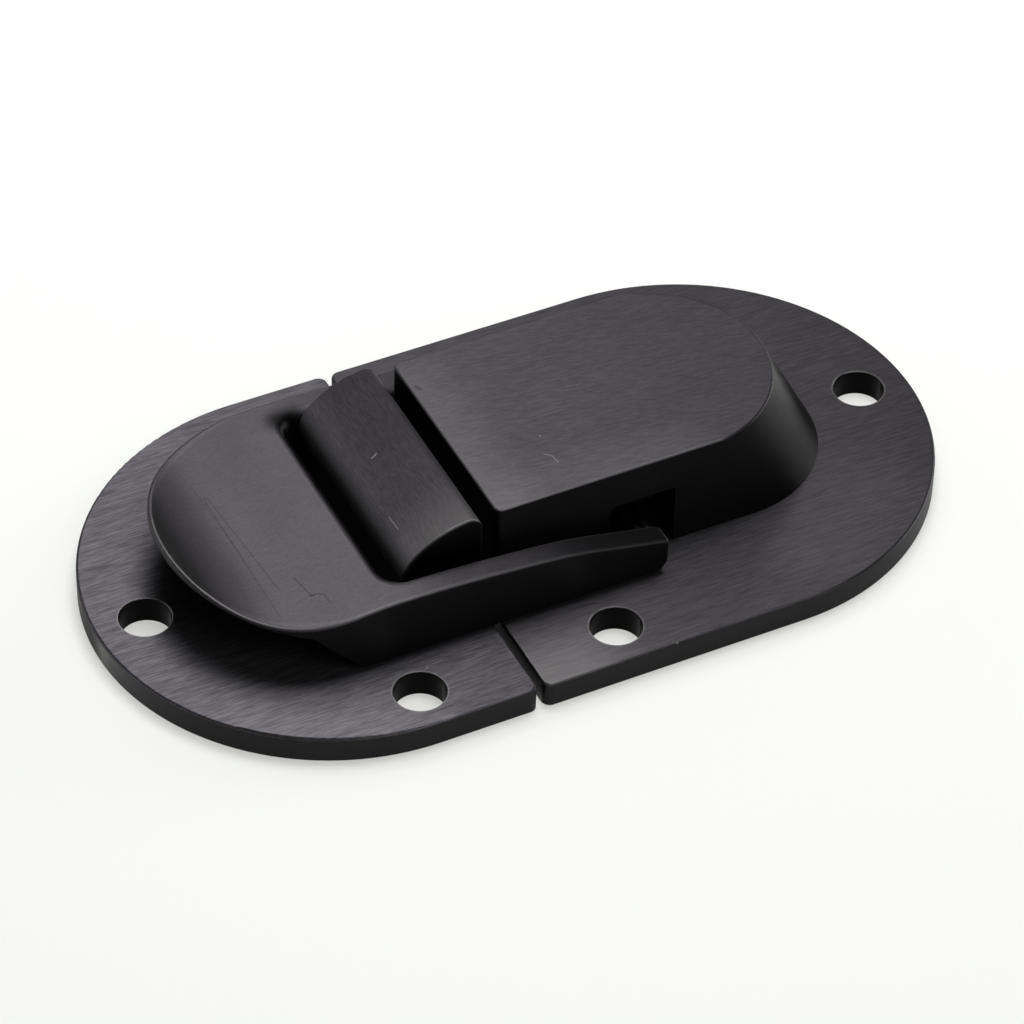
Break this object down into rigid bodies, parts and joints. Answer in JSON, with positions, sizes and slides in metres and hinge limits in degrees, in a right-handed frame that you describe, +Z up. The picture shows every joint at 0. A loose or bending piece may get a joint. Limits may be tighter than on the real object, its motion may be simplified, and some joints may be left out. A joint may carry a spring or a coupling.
{
  "type": "press lock clasp",
  "caption": "Two-half surface clasp: a forked lever on a sprung crossbar closes over a convex keeper block; screw holes in both base plates.",
  "frame": {"origin": "middle of the closed clasp's stadium outline, on the flat underside of the plates", "axes": "+X along the clasp from the paddle to the housing's round end, +Z up, away from the surface it is screwed to, +Y across it"},
  "size_m": [0.0716, 0.04, 0.0117],
  "materials": {
    "black_metal": "black coated brushed metal, brush lines along the clasp",
    "black_metal_block": "black coated brushed metal, brush lines across the clasp",
    "screw_steel": "black oxide steel",
    "spring_steel": "bright drawn spring wire",
    "slider_steel": "black coated cast metal"
  },
  "bodies": {
    "base": {"keeper_plate": "black_metal", "keeper_block": "black_metal_block", "keeper_screw_near": "screw_steel", "keeper_screw_far": "screw_steel", "catch_plate": "black_metal", "housing": "black_metal", "housing_screw_front": "screw_steel", "housing_screw_near": "screw_steel", "housing_screw_far": "screw_steel", "spring_near": "spring_steel", "spring_far": "spring_steel"},
    "slider": {"slider": "slider_steel"},
    "lever": {"lever": "black_metal"}
  },
  "joints": [
    {"name": "slider_slide", "type": "slide", "parent": "base", "child": "slider", "axis": [-1, 0, 0], "range_m": [0, 0.0008], "stiffness_N_per_m": 7000, "springref_m": -0.001, "deforming": ["spring_near", "spring_far"]},
    {"name": "lever_hinge", "type": "hinge", "parent": "slider", "child": "lever", "pos_m": [0.0062, 0, 0.0041], "axis": [0, 1, 0], "range_deg": [0, 100]}
  ]
}
